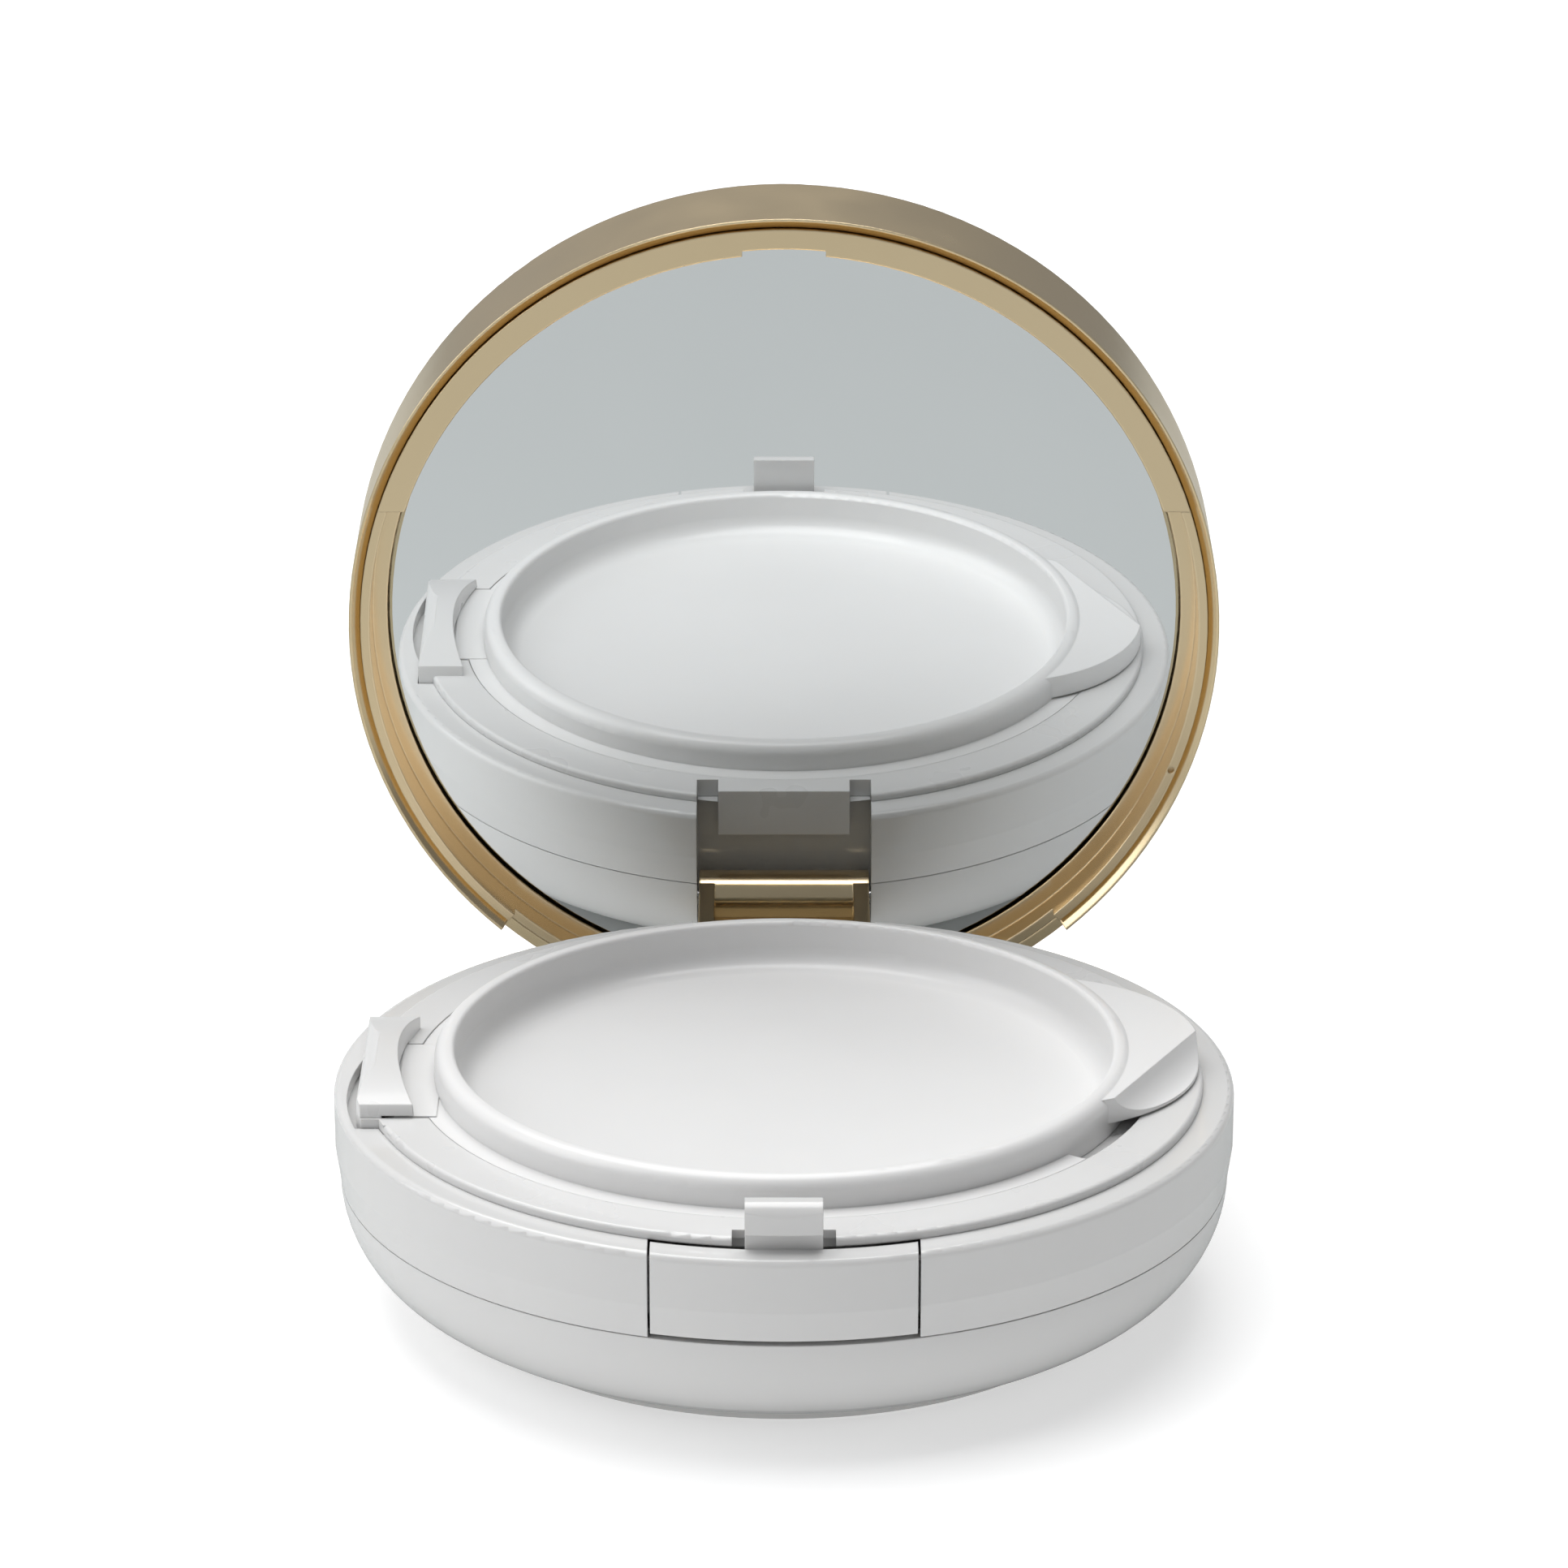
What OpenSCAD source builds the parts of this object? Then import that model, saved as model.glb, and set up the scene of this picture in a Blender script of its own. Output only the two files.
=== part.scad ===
// Round powder compact: white base with a refill pot and a dished inner lid, gold lid with a mirror.
// Millimetres, +Z up, +Y towards the hinge. The origin is the middle of the underside of the base.
// Every piece is drawn where it lies with the lid closed; the lid's pieces are then swung open.

/* [Overall] */
// Outer radius of the base
base_r = 39; // [32:0.5:48]
// Height of the base up to the ledge that the lid closes on
base_h = 18.8; // [15.5:0.1:24]
// How far the lid stands out past the base all round
lid_overhang = 1; // [0:0.1:2]
// Angle at which the lid stands open
lid_open = 86.4; // [0:0.1:100]
// Angle at which the inner lid stands open
inner_lid_open = 0; // [0:1:90]

/* [Base] */
// Height of the upper ring of the base, from the seam to the ledge
ring_h = 7.7; // [6.5:0.1:10]
// Wall of the upper ring
ring_wall = 1.6; // [1.2:0.1:2.2]
// Wall of the lower bowl
bowl_wall = 1.4; // [1:0.1:2]
// How much smaller the seam is than the widest part of the base
seam_inset = 0.4; // [0:0.1:0.8]
// Width of the curved shoulder under the seam, from the flat underside outwards
bowl_curve_w = 14.6; // [12:0.1:18]
// Radius of the tighter upper curve of the bowl
shoulder_r = 9.5; // [6:0.1:10]
// Width of the ledge left showing outside the pot's flange
ledge_w = 2.7; // [2.2:0.1:4]
// Rounding of the top outer edge of the ring
ledge_fillet = 0.6; // [0.2:0.1:1]

/* [Refill pot] */
// Height of the pot's flange above the ledge
flange_rise = 0.8; // [0.6:0.1:1.6]
// Width of the pot's flange
flange_w = 4.1; // [3.5:0.1:6]
// Depth from the ledge to the underside of the pot
pot_depth = 14.1; // [12:0.1:15]
// Wall and floor of the pot
pot_wall = 1.4; // [1:0.1:1.8]
// Thickness of the soaked cushion
sponge_t = 6.8; // [4:0.1:7]
// Thickness of the ring that holds the cushion down
retainer_t = 1.3; // [0.8:0.1:1.6]
// Width of the ring that holds the cushion down
retainer_w = 2.1; // [1.5:0.1:4]

/* [Inner lid] */
// Height of the rim bead above the flange
rim_rise = 2.7; // [2.2:0.1:3.3]
// Width of the rim bead
rim_w = 1.8; // [1.4:0.1:2.6]
// Width of the flat lip outside the rim
lip_w = 1.8; // [1.2:0.1:2.4]
// Depth of the puff dish
dish_depth = 4.3; // [4.1:0.1:5]
// Rounding between the dish's floor and its wall
dish_fillet = 1.8; // [0.5:0.1:2]
// Thickness of the dish's floor
dish_floor_t = 1.1; // [0.8:0.1:1.3]
// Radius of the thumb tab's outline
tab_r = 15; // [12:0.5:18]
// How far the thumb tab reaches past the flat lip
tab_reach = 3.9; // [2:0.1:4]
// How far the thumb tab sits back from the middle
tab_y = 0.8; // [-3:0.1:4]
// How far the inner hinge sits forward of the middle
inner_hinge_forward = 2.6; // [0:0.1:5]
// Length of the opening in the flange for the inner hinge's arm
arm_gap_l = 16.8; // [12:0.1:19]
// Width of the rounded block that covers the inner hinge
block_w = 3.1; // [2.6:0.1:4]
// Height of that block above the flange
block_rise = 2.4; // [2:0.1:3]
// Radius of the inner hinge's pin
inner_pin_r = 0.6; // [0.5:0.05:0.7]

/* [Button] */
// Width of the push button across the front
button_w = 21.9; // [16:0.1:26]
// Gap round the push button
button_gap = 0.2; // [0.15:0.05:0.5]
// How far the button travels when it is pressed
button_travel = 0.9; // [0.5:0.1:1]
// Width of the latch hook
hook_w = 6.4; // [4:0.1:8]
// Height of the hook above the flange
hook_rise = 3.4; // [3:0.1:4.2]
// How far the hook's head stands out over its stem
hook_head = 1.1; // [0.6:0.1:1.3]
// Thickness of the hook's stem
stem_t = 0.8; // [0.6:0.1:1]

/* [Lid] */
// Gap between the ledge and the closed lid
lid_gap = 0.1; // [0.05:0.05:0.3]
// Wall of the outer shell
shell_wall = 1; // [0.8:0.1:1.4]
// Thickness of the outer shell's top
shell_top_t = 1.4; // [1:0.1:2.5]
// Rounding of the lid's outer top edge
lid_fillet = 0.6; // [0.2:0.1:1.2]
// Space between the base's tallest piece and the mirror of the closed lid
mirror_clear = 0.75; // [0.5:0.05:2]
// Thickness of the mirror
mirror_t = 1.75; // [1:0.05:2]
// Thickness of the foam pad behind the mirror
pad_t = 0.8; // [0.5:0.1:1.2]
// Thickness of the frame's back plate
plate_t = 1.85; // [1:0.05:2.5]
// Width of the step round the mirror
bezel_w = 1.4; // [1:0.1:2]
// Height of the lip that catches on the hook
catch_t = 1.1; // [0.8:0.1:1.3]
// Half the angle over which the lid's edge is cut back at the hinge
relief_half = 41.5; // [25:0.5:50]
// How far the lid's edge is cut back there
relief_h = 1.7; // [1:0.1:2]

/* [Hinge] */
// How far the pivot sits in from the back of the base
pivot_inset = 3.4; // [3.2:0.1:4]
// How far the pivot sits below the ledge
pivot_drop = 10.2; // [9:0.1:11]
// Radius of the hinge barrel
barrel_r = 2.6; // [2.2:0.1:2.7]
// Radius of the steel hinge pin
pin_r = 0.75; // [0.6:0.05:0.8]
// Width of the notch in the back of the base
notch_w = 16.8; // [12:0.1:22]
// Thickness of the two cheeks of the hinge arm
cheek_t = 1.5; // [1:0.1:2.2]

/* [Hidden] */
$fn = 160;
eps = 0.01;
slip = 0.3;        // clearance between pieces that move past each other
seat = 0.1;        // clearance between pieces that stay put
running = 0.05;    // radial clearance of a bore on its pin
press = 0.01;      // radial clearance of a bore that grips its pin
far = 200;         // size of a block that only cuts

// heights
seam_z = base_h - ring_h;
flange_z = base_h + flange_rise;
flange_under = base_h + 0.02;
lip_seat_z = flange_z - 1.1;
rim_z = flange_z + rim_rise;
block_z = flange_z + block_rise;
pot_z = base_h - pot_depth;
dish_z = rim_z - dish_depth;
rest_z = base_h + lid_gap;
mirror_z = max(rim_z, block_z, flange_z + hook_rise) + mirror_clear;
pad_z = mirror_z + mirror_t;
plate_z = pad_z + pad_t;
cap_z = plate_z + plate_t + running;
lid_z = cap_z + shell_top_t;

// radii, from the outside in
seam_r = base_r - seam_inset;
ring_in_r = base_r - ring_wall;
flange_r = base_r - ledge_w;
lip_seat_r = flange_r - flange_w;
lip_r = lip_seat_r - seat;
rim_r = lip_r - lip_w;
dish_r = rim_r - rim_w;
pot_in_r = dish_r + slip;
pot_r = pot_in_r + pot_wall;
mouth_r = pot_in_r + 0.7;
mouth_z = dish_z - dish_floor_t + 0.2;
shelf_r = lip_seat_r + pot_wall + 0.4;
shelf_z = base_h - 1;
ring_hole_r = shelf_r + slip;
flat_r = seam_r - bowl_curve_w;

// curves of the bowl: a tight arc under the seam runs into a wide arc that meets the flat underside
tight_r = min(shoulder_r, seam_z * 0.86);
wide_r = (pow(bowl_curve_w, 2) - 2 * bowl_curve_w * tight_r + pow(seam_z, 2)) / (2 * (seam_z - tight_r));
tight_c = [seam_r - tight_r, seam_z];
wide_c = [flat_r, wide_r];
curve_way = (tight_c - wide_c) / norm(tight_c - wide_c);

// bowl and ring joint
skirt_r = seam_r - bowl_wall - seat;
skirt_wall = 1.7;
skirt_h = 2.5;
seam_gap = 0.04;
seat_rib_r = pot_r - 5;
seat_rib_w = 1.2;

// main hinge
pivot_y = base_r - pivot_inset;
pivot_z = base_h - pivot_drop;
notch_y = pivot_y - barrel_r - 0.8;
notch_z = pivot_z - barrel_r - 1.2;
notch_wall = 1.2;
arm_w = notch_w - 2 * button_gap;
boss_l = 4;
pin_seat = 2;
boss_top_z = seam_z - seam_gap;
web_y = pivot_y + 1.6;
cheek_y = notch_y + 1.3;
clip_w = arm_w - 2 * cheek_t - 2 * 0.35;
clip_y = notch_y + 0.2;
clip_t = 2.3;
clip_h = 4.7;

// inner hinge
block_x = -(base_r - 2.5);
block_in_x = block_x + block_w;
arm_pin_x = block_in_x + 0.15;
arm_pin_z = flange_z - 0.95;
knuckle_r = 0.9;
arm_l = arm_gap_l - 0.6;
arm_t = 1;
ear_l = 1.6;
block_rear = 3.6;
block_crown_r = 40;
block_end_r = 1.8;
crescent_r = 29;
hinge_floor_z = shelf_z - 0.3;
tab_x = lip_r + tab_reach - tab_r;
tab_gap = 0.2;
tab_foot = 0.25;
scoop_r = 2.6;
scoop_way = -27.2;
plug_wall = 1.3;
plug_h = 2.2;

// button and latch
button_half = button_w / 2;
window_half = button_half + button_gap;
button_t = 2.4;
button_low_z = seam_z + 0.4;
hook_back_y = -(flange_r - 0.65);
hook_front_r = flange_r - 0.65 + stem_t + hook_head;
hook_z = flange_z + hook_rise;
hook_under_z = rest_z + 0.2 + catch_t + 0.2;
hook_notch_half = hook_w / 2 + 1.05;
hook_notch_y = hook_back_y + button_travel + slip;
wing_l = 1.7;
wing_t = 1.1;
arm_r = shelf_r + 0.6;
arm_half = 33;
spring_t = 0.7;
spring_h = 3;
post_r = shelf_r - 1.6;

// lid
lid_r = base_r + lid_overhang;
frame_r = lid_r - shell_wall - running;
frame_in_r = frame_r - 0.85;
hinge_reach = frame_in_r - 0.35;
bezel_r = frame_in_r - bezel_w;
mirror_r = bezel_r - 0.15;
catch_r = flange_r + slip;
catch_notch_w = 7.5;
catch_notch_d = 0.5;
catch_z = rest_z + 0.2;
catch_y = inner_y0() - 0.9;
frame_low_z = rest_z + 0.3;

white = "#f1f0ed";
gold = "#c8ae78";

// ---- helpers ----

// What lies outside a rounded corner whose curve has its centre at the origin
module corner_cut(r) {
    difference() {
        square(r + 2);
        circle(r = r, $fn = 64);
    }
}

// A ring between two radii and two heights
module tube(outer, inner, low, high) {
    translate([0, 0, low]) difference() {
        cylinder(r = outer, h = high - low);
        translate([0, 0, -1]) cylinder(r = inner, h = high - low + 2);
    }
}

// A box that is centred on x = 0
module wide_box(half_x, y0, y1, z0, z1) {
    translate([-half_x, y0, z0]) cube([2 * half_x, y1 - y0, z1 - z0]);
}

// The same shape on the left and on the right
module both_sides() {
    children();
    mirror([1, 0, 0]) children();
}

// A cylinder along x, centred on x = 0
module rod_x(r, half, y, z) {
    translate([-half, y, z]) rotate([0, 90, 0]) cylinder(r = r, h = 2 * half, $fn = 48);
}

// A cylinder along y, from y0 to y1
module rod_y(r, x, y0, y1, z) {
    translate([x, y0, z]) rotate([-90, 0, 0]) cylinder(r = r, h = y1 - y0, $fn = 48);
}

// Swings the lid's pieces open about the main pivot
module lid_pose() {
    translate([0, pivot_y, pivot_z]) rotate([-lid_open, 0, 0]) translate([0, -pivot_y, -pivot_z]) children();
}

// Swings the inner lid's pieces open about the inner pivot
module inner_pose() {
    translate([arm_pin_x, 0, arm_pin_z]) rotate([0, -inner_lid_open, 0])
        translate([-arm_pin_x, 0, -arm_pin_z]) children();
}

// Half outline of the bowl, t inside its outer surface
module bowl_2d(t) {
    touch = wide_c + wide_r * curve_way;
    intersection() {
        translate([0, t]) square([far, seam_z - t]);
        union() {
            square([flat_r, seam_z]);
            intersection() {
                translate(wide_c) circle(r = wide_r - t);
                polygon([[0, 0], [touch[0], 0], touch, wide_c, [0, wide_r]]);
            }
            translate(tight_c) circle(r = tight_r - t);
            square([tight_c[0], seam_z]);
        }
    }
}

// Half outline of the ring's outside, which the push button shares
module ring_outline_2d(low) {
    lean_z = seam_z + 3;
    difference() {
        polygon([[0, low], [seam_r, low], [seam_r, seam_z + seam_gap], [base_r, lean_z], [base_r, base_h], [0, base_h]]);
        translate([base_r - ledge_fillet, base_h - ledge_fillet]) corner_cut(ledge_fillet);
    }
}

// Space of the notch in the back of the base
module notch_space() {
    wide_box(notch_w / 2, notch_y, far, notch_z, far);
}

// ---- base ----

module base_bowl() {
    color(white) difference() {
        union() {
            difference() {
                rotate_extrude() bowl_2d(0);
                rotate_extrude() bowl_2d(bowl_wall);
                translate([0, 0, seam_z - seam_gap]) cylinder(r = far, h = far);
            }
            tube(seat_rib_r, seat_rib_r - seat_rib_w, bowl_wall - eps, pot_z);
            intersection() {
                union() {
                    wide_box(notch_w / 2 + boss_l, notch_y - notch_wall, far, notch_z - notch_wall, boss_top_z);
                    wide_box(notch_w / 2 + notch_wall, notch_y - notch_wall, notch_y, bowl_wall, shelf_z - 0.4);
                }
                union() {
                    rotate_extrude() bowl_2d(bowl_wall / 2);
                    translate([0, 0, seam_z - eps]) cylinder(r = shelf_r, h = ring_h);
                }
            }
            intersection() {
                for (side = [-1, 1]) {
                    rotate([0, 0, -90 + side * arm_half])
                        translate([post_r - 2, -2, 0]) cube([2, 4, base_h - 4]);
                }
                union() {
                    rotate_extrude() bowl_2d(bowl_wall / 2);
                    translate([0, 0, seam_z - eps]) cylinder(r = shelf_r, h = ring_h);
                }
            }
        }
        notch_space();
        rod_x(pin_r + press, notch_w / 2 + pin_seat, pivot_y, pivot_z);
    }
}

// Half outline of the whole ring: the wall, the ledge and the skirt inside the bowl
module ring_2d() {
    low = seam_z + seam_gap;
    skirt_in_r = skirt_r - skirt_wall;
    difference() {
        ring_outline_2d(low);
        translate([-1, low - 1]) square([ring_in_r + 1, shelf_z - low + 1]);
        translate([-1, low - 1]) square([ring_hole_r + 1, far]);
    }
    translate([skirt_in_r, low]) square([ring_in_r + 0.5 - skirt_in_r, 1]);
    translate([skirt_in_r, seam_z - 0.3]) square([skirt_r - 0.1 - skirt_in_r, 0.8]);
    intersection() {
        bowl_2d(bowl_wall + seat);
        translate([skirt_in_r, seam_z - skirt_h]) square([skirt_r - 0.1 - skirt_in_r, skirt_h]);
    }
}

module base_ring() {
    color(white) difference() {
        union() {
            rotate_extrude() ring_2d();
            // floor under the inner hinge
            intersection() {
                tube(ring_in_r + 0.4, ring_hole_r, hinge_floor_z - 1.3, hinge_floor_z);
                translate([-far, inner_y0() - ear_l - 1, 0]) cube([far, arm_gap_l + block_rear + ear_l + 2, far]);
            }
            both_sides() intersection() {
                translate([notch_w / 2 - 0.5, notch_y + 0.5, seam_z + seam_gap])
                    cube([notch_wall + 0.5, far, shelf_z - seam_z - seam_gap - 0.2]);
                cylinder(r = ring_in_r + 0.4, h = far);
            }
        }
        // window of the push button, above the skirt
        wide_box(window_half, -far, 0, seam_z + seam_gap, far);
        // room for the push button's wings beside the window
        intersection() {
            wide_box(window_half + wing_l + slip, -far, -ring_hole_r + 4, seam_z + seam_gap, shelf_z);
            cylinder(r = ring_in_r, h = far);
        }
        notch_space();
        // room for the bosses of the main hinge below the seam
        wide_box(notch_w / 2 + boss_l + seat, ring_hole_r * 0.7, far, 0, seam_z + seam_gap);
        // room for the inner hinge, with the crescent beside its block
        intersection() {
            union() {
                hinge_patch(seat);
                intersection() {
                    translate([block_x - 1.2 + crescent_r, -inner_hinge_forward - 0.6, 0]) cylinder(r = crescent_r, h = far);
                    translate([-far, inner_y0() - 0.4, 0]) cube([far, arm_gap_l + block_rear + 0.5, far]);
                }
            }
            translate([-far, -far, hinge_floor_z]) cube([far, 2 * far, far]);
        }
    }
}

function inner_y0() = -inner_hinge_forward - arm_gap_l / 2;
function inner_y1() = -inner_hinge_forward + arm_gap_l / 2;

// ---- refill ----

module refill_pot() {
    edge = 0.35;
    color(white) difference() {
        union() {
            difference() {
                union() {
                    translate([0, 0, pot_z]) cylinder(r = pot_r, h = shelf_z - pot_z + eps);
                    translate([0, 0, shelf_z]) cylinder(r = shelf_r, h = flange_under - shelf_z + eps);
                    rotate_extrude() flange_2d(edge);
                    inner_hinge_boss();
                }
                translate([0, 0, pot_z + pot_wall]) cylinder(r = pot_in_r, h = far);
                translate([0, 0, mouth_z]) cylinder(r = mouth_r, h = far);
                translate([0, 0, lip_seat_z]) cylinder(r = lip_seat_r, h = far);
            }
            hinge_block();
            wide_box(clip_w / 2, clip_y, clip_y + clip_t, flange_z - clip_h, flange_z);
        }
        // the flange stops short at the notch, except for its middle plate
        both_sides() translate([clip_w / 2, notch_y, flange_under - 1])
            cube([notch_w / 2 - clip_w / 2, far, far]);
        translate([-clip_w / 2 - 1, clip_y + clip_t, 0]) cube([clip_w + 2, far, far]);
        // room for the latch hook
        wide_box(hook_notch_half, -far, hook_notch_y, shelf_z - 1, far);
        // opening for the inner hinge's arm and the pin's holes
        translate([block_in_x - 0.9, inner_y0(), shelf_z - 1]) cube([lip_seat_r * 0.1 + 1.8, arm_gap_l, flange_z - shelf_z + 1.2]);
        rod_y(inner_pin_r + press, arm_pin_x, inner_y0() - ear_l + 0.3, inner_y1() + ear_l - 0.3, arm_pin_z);
    }
}

// Half outline of the flange, with a rounded outer edge
module flange_2d(edge) {
    difference() {
        translate([lip_seat_r - 1, flange_under]) square([flange_r - lip_seat_r + 1, flange_z - flange_under]);
        translate([flange_r - edge, flange_z - edge]) corner_cut(edge);
    }
}

// Solid patch round the opening that holds the inner hinge's pin
module inner_hinge_boss() {
    intersection() {
        hinge_patch(0);
        tube(far, 1, shelf_z, flange_z);
    }
}

// Column that the inner hinge stands in, grown sideways by more
module hinge_patch(more) {
    back = inner_y1() + block_rear + more;
    front_wide = inner_y0() - 0.3 - more;
    front = inner_y0() - ear_l - more;
    intersection() {
        translate([block_x - more, front_wide, 0]) cube([5, back - front_wide, far]);
        cylinder(r = hinge_reach + more, h = far);
    }
    intersection() {
        translate([block_x - more, front, 0]) cube([5, back - front, far]);
        cylinder(r = flange_r + more / 2, h = far);
    }
}

// Rounded block that covers the inner hinge, flat outside and hollowed to the rim's curve inside
module hinge_block() {
    y0 = inner_y0();
    y1 = inner_y1() + block_rear;
    side_r = 1.3;
    difference() {
        intersection() {
            translate([block_x, y0, shelf_z]) cube([6, y1 - y0, block_z - shelf_z]);
            // crown along the top
            translate([block_x - 1, (y0 + y1) / 2, block_z - block_crown_r]) rotate([0, 90, 0])
                cylinder(r = block_crown_r, h = 9);
            // kept inside the lid's frame
            cylinder(r = hinge_reach, h = far);
        }
        cylinder(r = -block_in_x, h = far);
        // rounded along the outer top edge
        translate([block_x + side_r, far / 2, block_z - side_r - 0.2]) rotate([90, 0, 0]) linear_extrude(far)
            mirror([1, 0]) corner_cut(side_r);
        // rounded down to the flange at the front end
        translate([-far / 2, y0 + block_end_r, flange_z + 0.2]) rotate([90, 0, 90]) linear_extrude(far)
            mirror([1, 0]) corner_cut(block_end_r);
    }
}

module cushion_sponge() {
    crown = 0.5;
    low = pot_z + pot_wall + seat;
    color("#e2bf9c") union() {
        translate([0, 0, low]) cylinder(r = pot_in_r - slip, h = sponge_t - crown);
        translate([0, 0, low + sponge_t - crown - eps]) cylinder(r = pot_in_r - retainer_w - 0.6, h = crown);
    }
}

module sponge_retainer_ring() {
    low = pot_z + pot_wall + seat + sponge_t - 0.5 + seat;
    color(white) difference() {
        tube(pot_in_r - seat, pot_in_r - seat - retainer_w, low, low + retainer_t);
        translate([0, 0, low + retainer_t - 0.5])
            cylinder(r1 = pot_in_r - seat - retainer_w - eps, r2 = pot_in_r - seat - retainer_w + 0.6, h = 0.6);
    }
}

// ---- inner lid ----

// Half outline of the dished lid with its rim bead, lip and sealing skirt
module inner_lid_2d() {
    bead = 1.2;
    edge = 0.4;
    skirt_out = dish_r - 0.7;
    low = dish_z - dish_floor_t;
    difference() {
        union() {
            translate([0, low]) square([skirt_out, dish_floor_t + dish_fillet]);
            translate([skirt_out - plug_wall, low - plug_h]) square([plug_wall, plug_h + 1]);
            translate([skirt_out - 1, lip_seat_z + 0.05]) square([rim_r - skirt_out + 1, rim_z - lip_seat_z - 0.05]);
            translate([rim_r - 1, lip_seat_z + 0.05]) square([lip_r - rim_r + 1, flange_z - lip_seat_z - 0.1]);
            translate([skirt_out - 1, low]) square([1, base_h - low + 1]);
            translate([skirt_out - 1, mouth_z + 0.2]) square([mouth_r - slip - skirt_out + 1, base_h - mouth_z + 0.1]);
        }
        translate([rim_r - bead, rim_z - bead]) corner_cut(bead);
        translate([-1, dish_z + dish_fillet]) square([dish_r + 1, far]);
        translate([-1, dish_z]) square([dish_r - dish_fillet + 1, far]);
        translate([dish_r - dish_fillet, dish_z + dish_fillet]) circle(r = dish_fillet, $fn = 64);
        translate([dish_r + edge, rim_z - edge]) mirror([1, 0]) corner_cut(edge);
    }
}

// Leaf-shaped thumb tab, scooped on its front side for a fingertip
module thumb_tab() {
    difference() {
        intersection() {
            translate([tab_x, tab_y, flange_z + tab_gap]) cylinder(r = tab_r, h = rim_z - 0.25 - flange_z - tab_gap);
            translate([0, -far / 2, 0]) cube([far, far, far]);
        }
        cylinder(r = rim_r - 0.6, h = far);
        translate([tab_x, tab_y, flange_z + tab_gap + tab_foot + scoop_r]) rotate([0, 0, scoop_way])
            translate([tab_r - 0.16, 0, 0]) rotate([90, 0, 0]) cylinder(r = scoop_r, h = 40, center = true);
    }
}

module inner_lid() {
    color(white) inner_pose() difference() {
        union() {
            rotate_extrude() inner_lid_2d();
            thumb_tab();
            translate([arm_pin_x, inner_y0() + (arm_gap_l - arm_l) / 2, arm_pin_z]) cube([rim_r * 0.12, arm_l, arm_t]);
            rod_y(knuckle_r, arm_pin_x, inner_y0() + (arm_gap_l - arm_l) / 2, inner_y1() - (arm_gap_l - arm_l) / 2, arm_pin_z);
        }
        rod_y(inner_pin_r + running / 2, arm_pin_x, -far / 2, far / 2, arm_pin_z);
        // the lip is left out in front of the tab, so that a fingertip gets under it
        difference() {
            translate([rim_r - 1.5, tab_y - 13.8, lip_seat_z - 1]) cylinder(r = 7.5, h = flange_z - lip_seat_z + 1 + tab_gap - eps);
            cylinder(r = rim_r, h = far);
        }
    }
}

module inner_lid_seal() {
    skirt_out = dish_r - 0.7;
    low = dish_z - dish_floor_t - plug_h;
    color("#dfe3e2") inner_pose() tube(pot_in_r - 0.05, skirt_out + 0.02, low + 0.3, low + 1.5);
}

module inner_hinge_pin() {
    color("#b9bcc0") rod_y(inner_pin_r, arm_pin_x, inner_y0() - ear_l + 0.35, inner_y1() + ear_l - 0.35, arm_pin_z);
}

// ---- push button with its latch hook ----

module push_button() {
    color(white) union() {
        intersection() {
            difference() {
                rotate_extrude() ring_outline_2d(button_low_z);
                cylinder(r = base_r - button_t, h = far);
            }
            wide_box(button_half, -far, 0, button_low_z, base_h - 0.05);
        }
        // wings behind the ring keep the button from falling out
        intersection() {
            tube(ring_in_r - slip, ring_in_r - slip - wing_t, button_low_z + 1, shelf_z - 0.5);
            wide_box(button_half + wing_l, -far, 0, 0, far);
        }
        latch_hook();
        spring_arms();
    }
}

// Hook with a rounded head that stands out over its stem
module latch_hook() {
    head_round = 1.2;
    intersection() {
        difference() {
            wide_box(hook_w / 2, -far, hook_back_y, base_h - 5, hook_z);
            // throat under the head
            wide_box(far, -far, hook_back_y - stem_t, base_h - 0.05, hook_under_z);
            // rounded top front edge
            translate([-far / 2, -hook_front_r + head_round, hook_z - head_round]) rotate([90, 0, 90])
                linear_extrude(far) mirror([1, 0]) corner_cut(head_round);
        }
        cylinder(r = hook_front_r, h = far);
    }
}

// Two thin arms that push the button back out
module spring_arms() {
    low = base_h - 5.5;
    intersection() {
        tube(arm_r + spring_t, arm_r, low, low + spring_h);
        linear_extrude(far) polygon([[0, 0], for (a = [-arm_half, 0, arm_half]) far * [sin(a), -cos(a)]]);
    }
    intersection() {
        wide_box(2.5, -base_r + 1, -arm_r - 0.2, low, low + spring_h);
        cylinder(r = base_r - 1, h = far);
    }
}

module lid_hinge_pin() {
    color("#b9bcc0") rod_x(pin_r, notch_w / 2 + pin_seat - 0.2, pivot_y, pivot_z);
}

// ---- lid ----

// Sector at the back where the lid's edge is cut back
module relief() {
    translate([0, 0, rest_z - 1]) linear_extrude(relief_h + 1)
        polygon([[0, 0], for (a = [-relief_half, 0, relief_half]) far * [sin(a), cos(a)]]);
}

module lid_shell() {
    bevel = 0.8;
    color(gold) lid_pose() difference() {
        rotate_extrude() difference() {
            translate([0, rest_z]) square([lid_r, lid_z - rest_z]);
            translate([-1, rest_z - 1]) square([lid_r - shell_wall + 1, cap_z - rest_z + 1]);
            polygon([[lid_r - shell_wall - 1, rest_z - 1], [lid_r - shell_wall + bevel + 1, rest_z - 1],
                [lid_r - shell_wall + bevel, rest_z], [lid_r - shell_wall - eps, rest_z + bevel + eps]]);
            translate([lid_r - lid_fillet, lid_z - lid_fillet]) corner_cut(lid_fillet);
        }
        relief();
    }
}

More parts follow.
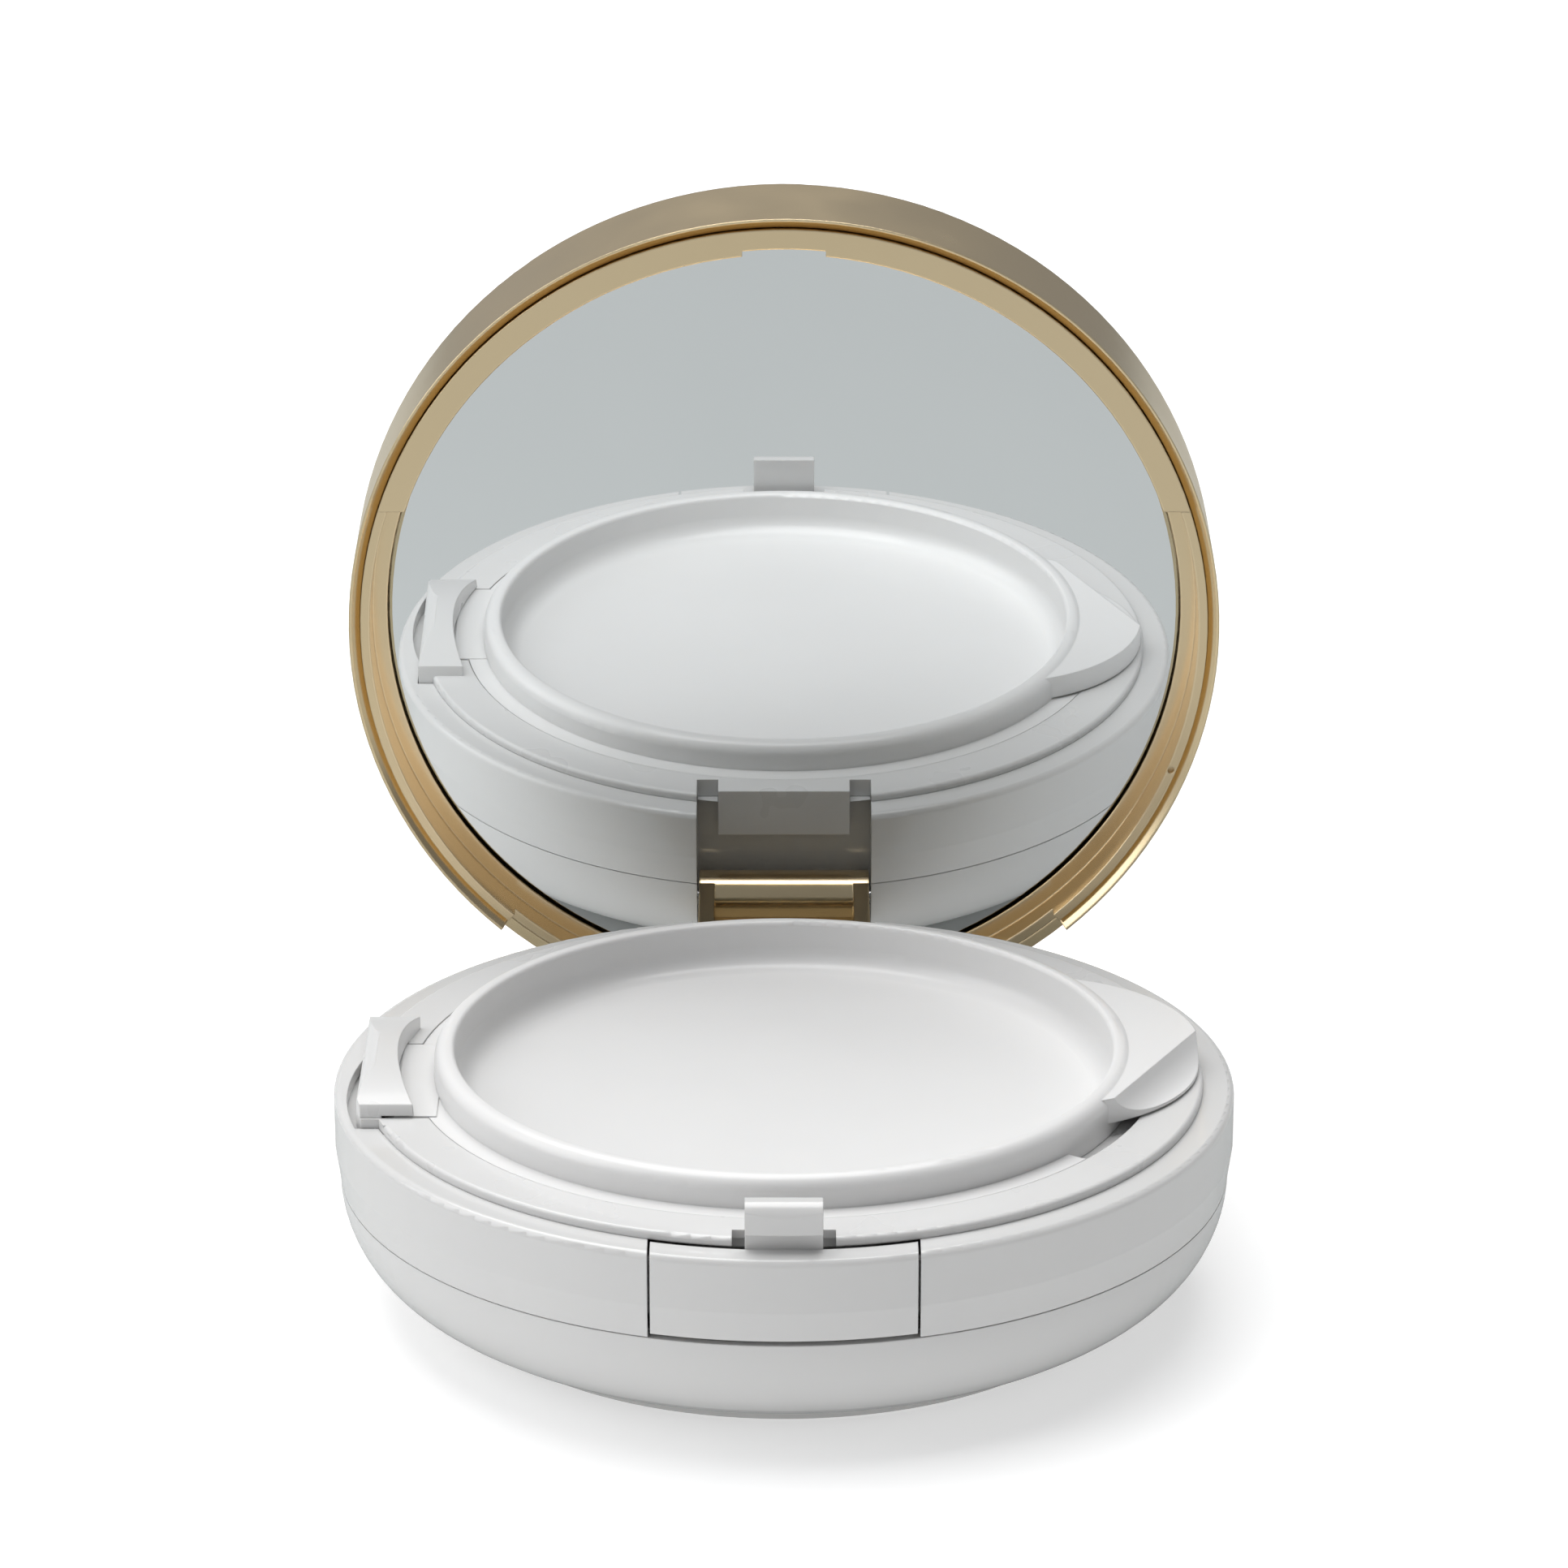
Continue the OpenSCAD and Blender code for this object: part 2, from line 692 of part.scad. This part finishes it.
module lid_frame() {
    color(gold) lid_pose() {
        difference() {
            union() {
                tube(frame_r, frame_in_r, frame_low_z, plate_z + plate_t);
                tube(frame_in_r + eps, bezel_r, mirror_z - 0.25, plate_z + plate_t);
                translate([0, 0, plate_z]) cylinder(r = bezel_r + eps, h = plate_t);
                front_lip();
            }
            relief();
            // small blind dimple in the edge
            rotate([0, 0, 21]) translate([frame_in_r + 0.35, 0, frame_low_z - eps]) cylinder(r = 0.3, h = 0.6, $fn = 24);
        }
        hinge_arm();
    }
}

// Lip round the front that snaps under the latch hook
module front_lip() {
    difference() {
        intersection() {
            tube(frame_r, catch_r, catch_z, catch_z + catch_t);
            translate([-far / 2, -far + catch_y, 0]) cube([far, far, far]);
        }
        intersection() {
            wide_box(catch_notch_w / 2, -far, 0, 0, far);
            cylinder(r = catch_r + catch_notch_d, h = far);
        }
    }
}

// Arm from the frame down to the pivot: two cheeks, a thin web and a full-width barrel
module hinge_arm() {
    top = rest_z + relief_h + 1.2;
    outer = frame_r - 0.05;
    difference() {
        union() {
            rod_x(barrel_r, arm_w / 2, pivot_y, pivot_z);
            intersection() {
                union() {
                    wide_box(arm_w / 2, web_y, far, pivot_z + 0.9, top);
                    both_sides() translate([arm_w / 2 - cheek_t, cheek_y, pivot_z]) cube([cheek_t, far, top - pivot_z - 2.4]);
                    both_sides() translate([arm_w / 2 - cheek_t, pivot_y, pivot_z]) cube([cheek_t, far, top - pivot_z]);
                }
                cylinder(r = outer, h = far);
                // nothing of the arm reaches past the barrel below the pivot
                wide_box(far / 2, -far, far, pivot_z, far);
            }
        }
        rod_x(pin_r + running, far / 2, pivot_y, pivot_z);
    }
}

module mirror_pad() {
    color("#5b5d60") lid_pose() translate([0, 0, pad_z]) cylinder(r = mirror_r - 2, h = pad_t);
}

module mirror_glass() {
    edge = 0.3;
    color("#cfd8dc") lid_pose() rotate_extrude() difference() {
        translate([0, mirror_z]) square([mirror_r, mirror_t]);
        polygon([[mirror_r - edge, mirror_z - eps], [mirror_r + 1, mirror_z - eps], [mirror_r + 1, mirror_z + edge], [mirror_r, mirror_z + edge]]);
    }
}

base_bowl();
base_ring();
refill_pot();
cushion_sponge();
sponge_retainer_ring();
inner_lid();
inner_lid_seal();
inner_hinge_pin();
push_button();
lid_hinge_pin();
lid_frame();
lid_shell();
mirror_pad();
mirror_glass();
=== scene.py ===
import math

import bpy
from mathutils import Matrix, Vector

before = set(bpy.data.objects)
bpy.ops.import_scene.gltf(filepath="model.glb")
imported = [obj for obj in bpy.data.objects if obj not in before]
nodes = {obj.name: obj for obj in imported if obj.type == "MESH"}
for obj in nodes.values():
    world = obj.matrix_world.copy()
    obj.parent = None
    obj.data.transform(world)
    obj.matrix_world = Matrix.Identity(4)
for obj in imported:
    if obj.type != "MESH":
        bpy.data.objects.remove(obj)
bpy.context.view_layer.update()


# Node graph helpers.

def newMaterial(name):
    mat = bpy.data.materials.new(name)
    mat.use_nodes = True
    tree = mat.node_tree
    tree.nodes.clear()
    out = tree.nodes.new("ShaderNodeOutputMaterial")
    shader = tree.nodes.new("ShaderNodeBsdfPrincipled")
    tree.links.new(shader.outputs["BSDF"], out.inputs["Surface"])
    return mat, tree, shader


def noiseOf(tree, scale, detail=3.0, distortion=0.0, stretch=(1, 1, 1)):
    coords = tree.nodes.new("ShaderNodeTexCoord")
    mapping = tree.nodes.new("ShaderNodeMapping")
    mapping.inputs["Scale"].default_value = stretch
    noise = tree.nodes.new("ShaderNodeTexNoise")
    noise.inputs["Scale"].default_value = scale
    noise.inputs["Detail"].default_value = detail
    noise.inputs["Distortion"].default_value = distortion
    tree.links.new(coords.outputs["Object"], mapping.inputs["Vector"])
    tree.links.new(mapping.outputs["Vector"], noise.inputs["Vector"])
    return noise.outputs["Fac"]


def rangeOf(tree, value, fromMin, fromMax, toMin, toMax):
    node = tree.nodes.new("ShaderNodeMapRange")
    node.inputs["From Min"].default_value = fromMin
    node.inputs["From Max"].default_value = fromMax
    node.inputs["To Min"].default_value = toMin
    node.inputs["To Max"].default_value = toMax
    tree.links.new(value, node.inputs["Value"])
    return node.outputs["Result"]


def mixOf(tree, factor, first, second):
    node = tree.nodes.new("ShaderNodeMix")
    node.data_type = "RGBA"
    node.inputs["A"].default_value = (*first, 1)
    node.inputs["B"].default_value = (*second, 1)
    tree.links.new(factor, node.inputs["Factor"])
    return node.outputs["Result"]


def bumpOf(tree, height, strength, distance, normal=None):
    node = tree.nodes.new("ShaderNodeBump")
    node.inputs["Strength"].default_value = strength
    node.inputs["Distance"].default_value = distance
    tree.links.new(height, node.inputs["Height"])
    if normal is not None:
        tree.links.new(normal, node.inputs["Normal"])
    return node.outputs["Normal"]


def softEdge(tree, radius):
    node = tree.nodes.new("ShaderNodeBevel")
    node.samples = 4
    node.inputs["Radius"].default_value = radius
    return node.outputs["Normal"]


# How sharply the surface bends nearby: 0 on flats, 1 along edges.
def edgeMask(tree, radius, gain):
    bevel = tree.nodes.new("ShaderNodeBevel")
    bevel.samples = 4
    bevel.inputs["Radius"].default_value = radius
    geometry = tree.nodes.new("ShaderNodeNewGeometry")
    dot = tree.nodes.new("ShaderNodeVectorMath")
    dot.operation = "DOT_PRODUCT"
    tree.links.new(bevel.outputs["Normal"], dot.inputs[0])
    tree.links.new(geometry.outputs["Normal"], dot.inputs[1])
    return rangeOf(tree, dot.outputs["Value"], 1.0, 0.8, 0.0, gain)


# A tone that turns to the paler edge colour where the mask is high: a painted highlight along edges.
def paintedEdgeHighlightOf(tree, tone, mask, edgeHighlightColour):
    node = tree.nodes.new("ShaderNodeMix")
    node.data_type = "RGBA"
    node.inputs["B"].default_value = (*edgeHighlightColour, 1)
    tree.links.new(tone, node.inputs["A"])
    tree.links.new(mask, node.inputs["Factor"])
    return node.outputs["Result"]


print("helpers ready")


# Glossy white moulded plastic: faint waviness, a slow change of gloss and slightly paler edges, which are a
# painted highlight.
def makeWhitePlastic(name, look):
    mat, tree, shader = newMaterial(name)
    cloud = noiseOf(tree, look["cloudScale"], 4.0, 0.4)
    edge = edgeMask(tree, look["edgeRadius"], look["edgeGain"])
    tone = mixOf(tree, rangeOf(tree, cloud, 0.3, 0.7, 0.0, 1.0), look["colour"], look["colourShift"])
    tree.links.new(paintedEdgeHighlightOf(tree, tone, edge, look["edgeHighlightColour"]), shader.inputs["Base Color"])
    haze = noiseOf(tree, look["hazeScale"], 2.0)
    tree.links.new(rangeOf(tree, haze, 0.35, 0.75, *look["roughness"]), shader.inputs["Roughness"])
    ripple = noiseOf(tree, look["rippleScale"], 1.0)
    grain = noiseOf(tree, look["grainScale"], 2.0)
    normal = bumpOf(tree, ripple, look["ripple"], 0.0002, softEdge(tree, look["edgeSoftness"]))
    tree.links.new(bumpOf(tree, grain, look["grain"], 0.00002, normal), shader.inputs["Normal"])
    shader.inputs["IOR"].default_value = 1.5
    shader.inputs["Subsurface Weight"].default_value = look["glow"]
    shader.inputs["Subsurface Radius"].default_value = (1.0, 0.85, 0.7)
    shader.inputs["Subsurface Scale"].default_value = 0.0006
    shader.inputs["Coat Weight"].default_value = look["coat"]
    shader.inputs["Coat Roughness"].default_value = 0.06
    return mat


# Champagne gold plating over moulded plastic, with a slow change of gloss from wiping, and paler edges that
# are a painted highlight.
def makeGoldPlate(name, look):
    mat, tree, shader = newMaterial(name)
    cloud = noiseOf(tree, look["cloudScale"], 3.0, 0.5)
    tone = mixOf(tree, rangeOf(tree, cloud, 0.3, 0.7, 0.0, 1.0), look["colour"], look["colourShift"])
    edge = edgeMask(tree, look["edgeRadius"], look["edgeGain"])
    tree.links.new(paintedEdgeHighlightOf(tree, tone, edge, look["edgeHighlightColour"]), shader.inputs["Base Color"])
    wipe = noiseOf(tree, look["wipeScale"], 2.0, 0.0, (1.0, 1.0, 0.2))
    tree.links.new(rangeOf(tree, wipe, 0.3, 0.75, *look["roughness"]), shader.inputs["Roughness"])
    ripple = noiseOf(tree, look["rippleScale"], 1.0)
    normal = bumpOf(tree, ripple, look["ripple"], 0.0001, softEdge(tree, look["edgeSoftness"]))
    tree.links.new(normal, shader.inputs["Normal"])
    shader.inputs["Metallic"].default_value = 1.0
    return mat


# Silvered glass, nearly perfect, with a trace of haze and a slightly grey tint.
def makeMirror(name, look):
    mat, tree, shader = newMaterial(name)
    smear = noiseOf(tree, look["smearScale"], 4.0, 1.0)
    tone = mixOf(tree, rangeOf(tree, smear, 0.4, 0.8, 0.0, 1.0), look["colour"], look["smearColour"])
    tree.links.new(tone, shader.inputs["Base Color"])
    tree.links.new(rangeOf(tree, smear, 0.4, 0.8, *look["roughness"]), shader.inputs["Roughness"])
    wave = noiseOf(tree, look["waveScale"], 1.0)
    tree.links.new(bumpOf(tree, wave, look["wave"], 0.00002), shader.inputs["Normal"])
    shader.inputs["Metallic"].default_value = 1.0
    return mat


# Drawn steel wire with fine lines along the pin.
def makeSteel(name, look):
    mat, tree, shader = newMaterial(name)
    lines = noiseOf(tree, look["lineScale"], 4.0, 0.0, look["along"])
    tree.links.new(mixOf(tree, lines, look["colour"], look["lineColour"]), shader.inputs["Base Color"])
    tree.links.new(rangeOf(tree, lines, 0.3, 0.7, *look["roughness"]), shader.inputs["Roughness"])
    tree.links.new(bumpOf(tree, lines, look["bump"], 0.00003), shader.inputs["Normal"])
    shader.inputs["Metallic"].default_value = 1.0
    return mat


# Open-cell sponge or closed-cell foam, by the size and depth of its pores; the darker pore colour is painted
# shade inside the pores.
def makeFoam(name, look):
    mat, tree, shader = newMaterial(name)
    coords = tree.nodes.new("ShaderNodeTexCoord")
    pores = tree.nodes.new("ShaderNodeTexVoronoi")
    pores.inputs["Scale"].default_value = look["poreScale"]
    tree.links.new(coords.outputs["Object"], pores.inputs["Vector"])
    cell = pores.outputs["Distance"]
    tree.links.new(mixOf(tree, cell, look["poreShadeColour"], look["colour"]), shader.inputs["Base Color"])
    tree.links.new(rangeOf(tree, cell, 0.0, 0.6, *look["roughness"]), shader.inputs["Roughness"])
    tree.links.new(bumpOf(tree, cell, look["bump"], 0.0002), shader.inputs["Normal"])
    return mat


# Translucent silicone rubber with a dusty surface.
def makeSilicone(name, look):
    mat, tree, shader = newMaterial(name)
    dust = noiseOf(tree, look["dustScale"], 5.0)
    tree.links.new(mixOf(tree, dust, look["colour"], look["dustColour"]), shader.inputs["Base Color"])
    tree.links.new(rangeOf(tree, dust, 0.3, 0.7, *look["roughness"]), shader.inputs["Roughness"])
    tree.links.new(bumpOf(tree, dust, look["bump"], 0.00005), shader.inputs["Normal"])
    shader.inputs["Subsurface Weight"].default_value = 0.4
    shader.inputs["Subsurface Scale"].default_value = 0.001
    return mat


# The paler edge colour in the plastic and gold looks is a painted highlight along edges.
outerWhite = {
    "colour": (0.65, 0.649, 0.642), "colourShift": (0.64, 0.639, 0.634), "cloudScale": 60,
    "edgeHighlightColour": (0.71, 0.705, 0.695), "edgeRadius": 0.0003, "edgeGain": 0.3,
    "roughness": (0.18, 0.24), "hazeScale": 160, "coat": 0.35,
    "ripple": 0.03, "rippleScale": 90, "grain": 0.03, "grainScale": 5000,
    "edgeSoftness": 0.00018, "glow": 0.12,
}
innerWhite = dict(
    outerWhite, colour=(0.665, 0.664, 0.658), colourShift=(0.655, 0.654, 0.65),
    roughness=(0.27, 0.33), coat=0.2, cloudScale=90,
)
dishWhite = dict(
    innerWhite, colour=(0.735, 0.733, 0.728), colourShift=(0.725, 0.723, 0.718),
    roughness=(0.3, 0.36), coat=0.12,
)
goldShell = {
    "colour": (0.84, 0.68, 0.43), "colourShift": (0.82, 0.66, 0.41), "cloudScale": 40,
    "edgeHighlightColour": (0.88, 0.75, 0.52), "edgeRadius": 0.0003, "edgeGain": 0.3,
    "roughness": (0.22, 0.28), "wipeScale": 120, "ripple": 0.04, "rippleScale": 120, "edgeSoftness": 0.00022,
}
goldFrame = dict(goldShell, colour=(0.84, 0.67, 0.43), colourShift=(0.82, 0.65, 0.41), roughness=(0.15, 0.21))
mirrorFace = {
    "colour": (0.86, 0.88, 0.885), "smearColour": (0.845, 0.865, 0.87), "smearScale": 25,
    "roughness": (0.004, 0.02), "wave": 0.01, "waveScale": 12,
}
pinSteel = {
    "colour": (0.60, 0.60, 0.61), "lineColour": (0.48, 0.48, 0.5), "roughness": (0.22, 0.38),
    "lineScale": 4000, "along": (0.05, 1, 1), "bump": 0.3,
}
# The darker pore colour in these looks is painted shade inside the pores.
soakedSponge = {
    "colour": (0.72, 0.52, 0.36), "poreShadeColour": (0.42, 0.27, 0.17), "poreScale": 1800,
    "roughness": (0.45, 0.8), "bump": 0.6,
}
foamTape = {
    "colour": (0.05, 0.05, 0.055), "poreShadeColour": (0.02, 0.02, 0.02), "poreScale": 2600,
    "roughness": (0.7, 0.9), "bump": 0.5,
}
sealRubber = {
    "colour": (0.66, 0.68, 0.68), "dustColour": (0.74, 0.75, 0.75), "dustScale": 1500,
    "roughness": (0.4, 0.6), "bump": 0.2,
}

finishes = {
    "base_bowl": makeWhitePlastic("outerShellWhite", outerWhite),
    "refill_pot": makeWhitePlastic("refillWhite", innerWhite),
    "inner_lid": makeWhitePlastic("innerLidWhite", dishWhite),
    "lid_shell": makeGoldPlate("lidShellGold", goldShell),
    "lid_frame": makeGoldPlate("lidFrameGold", goldFrame),
    "mirror_glass": makeMirror("silveredGlass", mirrorFace),
    "lid_hinge_pin": makeSteel("hingePinSteel", pinSteel),
    "inner_hinge_pin": makeSteel("innerPinSteel", dict(pinSteel, along=(1, 0.05, 1))),
    "cushion_sponge": makeFoam("soakedSponge", soakedSponge),
    "mirror_pad": makeFoam("foamTape", foamTape),
    "inner_lid_seal": makeSilicone("sealSilicone", sealRubber),
}
finishes["base_ring"] = finishes["push_button"] = finishes["base_bowl"]
finishes["sponge_retainer_ring"] = finishes["refill_pot"]

for nodeName, cadPart in nodes.items():
    cadPart.data.materials.clear()
    cadPart.data.materials.append(finishes[nodeName])
print("finishes set on", len(nodes), "pieces")


# Plain pale floor that glows a little, so that shadows on it stay light.
floorLook = {"size": 6.0, "height": -0.0002, "colour": (0.7, 0.7, 0.7), "roughness": 0.8, "glow": 0.42}
# Painted reflection: a grey sheet over the floor that only reflections see, so that what the mirror and the
# gold see of the floor is a shade greyer than the floor itself.
paintedReflectionCard = {"size": 6.0, "height": -0.0001, "colour": (0.465, 0.482, 0.48), "roughness": 0.9, "glow": 0.0}


def addSheet(name, look):
    mesh = bpy.data.meshes.new(name)
    half = look["size"] / 2
    corners = [(-half, -half, 0), (half, -half, 0), (half, half, 0), (-half, half, 0)]
    mesh.from_pydata(corners, [], [(0, 1, 2, 3)])
    sheet = bpy.data.objects.new(name, mesh)
    bpy.context.scene.collection.objects.link(sheet)
    sheet.location.z = look["height"]
    mat, tree, shader = newMaterial(name + "Paint")
    shader.inputs["Base Color"].default_value = (*look["colour"], 1)
    shader.inputs["Roughness"].default_value = look["roughness"]
    shader.inputs["Specular IOR Level"].default_value = 0.05
    shader.inputs["Emission Color"].default_value = (1, 1, 1, 1)
    shader.inputs["Emission Strength"].default_value = look["glow"]
    mesh.materials.append(mat)
    return sheet


addSheet("floor", floorLook)
card = addSheet("paintedReflectionCard", paintedReflectionCard)
card.visible_camera = card.visible_diffuse = card.visible_shadow = card.visible_transmission = False


# Soft studio light: a soft box on the left, a bigger one above, and a pale room.
studio = {
    "room": (0.97, 0.98, 1.0), "roomLeft": 0.46, "roomRight": 0.18,
    "boxes": [
        ("leftBox", (-0.9, -0.1, 0.6), 0.8, 3.6),
        ("topBox", (-0.1, 0.3, 1.1), 1.1, 14.5),
    ],
    "aim": (0, 0, 0.03),
}


def addSoftBox(name, place, size, power):
    light = bpy.data.lights.new(name, "AREA")
    light.size = size
    light.energy = power
    box = bpy.data.objects.new(name, light)
    bpy.context.scene.collection.objects.link(box)
    box.location = place
    box.rotation_euler = (Vector(studio["aim"]) - Vector(place)).to_track_quat("-Z", "Y").to_euler()


for softBox in studio["boxes"]:
    addSoftBox(*softBox)
world = bpy.data.worlds.new("studioRoom")
world.use_nodes = True
worldTree = world.node_tree
background = worldTree.nodes["Background"]
background.inputs["Color"].default_value = (*studio["room"], 1)
# The room is darker towards the right.
direction = worldTree.nodes.new("ShaderNodeTexCoord")
parts = worldTree.nodes.new("ShaderNodeSeparateXYZ")
worldTree.links.new(direction.outputs["Generated"], parts.inputs["Vector"])
roomLight = rangeOf(worldTree, parts.outputs["X"], -0.9, 0.9, studio["roomLeft"], studio["roomRight"])
worldTree.links.new(roomLight, background.inputs["Strength"])
bpy.context.scene.world = world
bpy.context.scene.view_settings.view_transform = "Standard"
print("studio lit")


# Long lens, looking down a little from the front.
viewpoint = {"lens": 146.2, "place": (0, -0.5114, 0.2305), "pitch": 70.15}
camera = bpy.data.cameras.new("camera")
camera.lens = viewpoint["lens"]
camera.sensor_width = 36
cameraObject = bpy.data.objects.new("camera", camera)
cameraObject.location = viewpoint["place"]
cameraObject.rotation_euler = (math.radians(viewpoint["pitch"]), 0, 0)
bpy.context.scene.collection.objects.link(cameraObject)
bpy.context.scene.camera = cameraObject
print("camera set")
